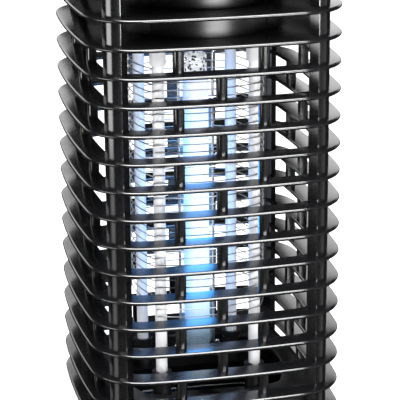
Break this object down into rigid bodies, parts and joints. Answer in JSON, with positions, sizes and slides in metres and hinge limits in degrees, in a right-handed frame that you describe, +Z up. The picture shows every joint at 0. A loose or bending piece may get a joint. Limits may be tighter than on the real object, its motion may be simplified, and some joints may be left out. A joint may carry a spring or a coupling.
{
  "type": "electric bug zapper",
  "caption": "Square lantern bug zapper: stacked black fin cage round a glowing tube and a wound high-voltage wire grid, with a pull-off catch tray and a hanging loop.",
  "frame": {"origin": "middle of the underside, on the surface that the object stands on", "axes": "+Z up along the lamp, the front face looks along -Y, +X to its right"},
  "size_m": [0.133, 0.133, 0.2925],
  "materials": {
    "gloss_black_plastic": "moulded gloss black",
    "satin_black_plastic": "moulded satin black",
    "white_plastic": "smooth white insulator",
    "bright_steel": "bright drawn wire",
    "screw_steel": "zinc plated",
    "board_green": "solder resist",
    "transformer_core": "ferrite and tape",
    "capacitor_red": "dipped",
    "capacitor_sleeve": "shrink sleeve",
    "terminal_green": "moulded",
    "lamp_base_metal": "spun",
    "brass_contact": "machined",
    "lamp_glass": "phosphor coated, lit",
    "stem_glass": "pressed",
    "foot_rubber": "matt"
  },
  "bodies": {
    "housing": {"cage_half_right": "gloss_black_plastic", "cage_half_left": "gloss_black_plastic", "top_cover": "gloss_black_plastic", "cord_gland": "satin_black_plastic", "chamber_case": "gloss_black_plastic", "circuit_board": "board_green", "transformer": "transformer_core", "film_capacitor_1": "capacitor_red", "film_capacitor_2": "capacitor_red", "filter_capacitor": "capacitor_sleeve", "terminal_block": "terminal_green", "board_screw_1": "screw_steel", "board_screw_2": "screw_steel", "board_screw_3": "screw_steel", "board_screw_4": "screw_steel", "lamp_socket": "satin_black_plastic", "lamp_cap": "lamp_base_metal", "lamp_contact": "brass_contact", "lamp_glass": "lamp_glass", "lamp_stem": "stem_glass", "lamp_guard_left": "bright_steel", "lamp_guard_right": "bright_steel", "grid_rod_1": "white_plastic", "grid_rod_2": "white_plastic", "grid_rod_3": "white_plastic", "grid_rod_4": "white_plastic", "rod_sleeve_1": "white_plastic", "rod_sleeve_2": "white_plastic", "rod_sleeve_3": "white_plastic", "rod_sleeve_4": "white_plastic", "rod_clip_1": "satin_black_plastic", "rod_clip_2": "satin_black_plastic", "rod_clip_3": "satin_black_plastic", "rod_clip_4": "satin_black_plastic", "grid_wire_a": "bright_steel", "grid_wire_b": "bright_steel", "lower_deck": "satin_black_plastic", "cover_screw_1": "screw_steel", "cover_screw_2": "screw_steel", "cover_screw_3": "screw_steel", "cover_screw_4": "screw_steel", "deck_screw_1": "screw_steel", "deck_screw_2": "screw_steel", "deck_screw_3": "screw_steel", "deck_screw_4": "screw_steel"},
    "tray": {"catch_tray": "gloss_black_plastic", "rubber_foot_1": "foot_rubber", "rubber_foot_2": "foot_rubber", "rubber_foot_3": "foot_rubber", "rubber_foot_4": "foot_rubber"},
    "loop": {"hanging_loop": "bright_steel"}
  },
  "joints": [
    {"name": "tray_pull", "type": "slide", "parent": "housing", "child": "tray", "axis": [0, 0, -1], "range_m": [0, 0.035]},
    {"name": "loop_swing", "type": "hinge", "parent": "housing", "child": "loop", "pos_m": [0, 0, 0.28795], "axis": [1, 0, 0], "range_deg": [0, 180]}
  ]
}
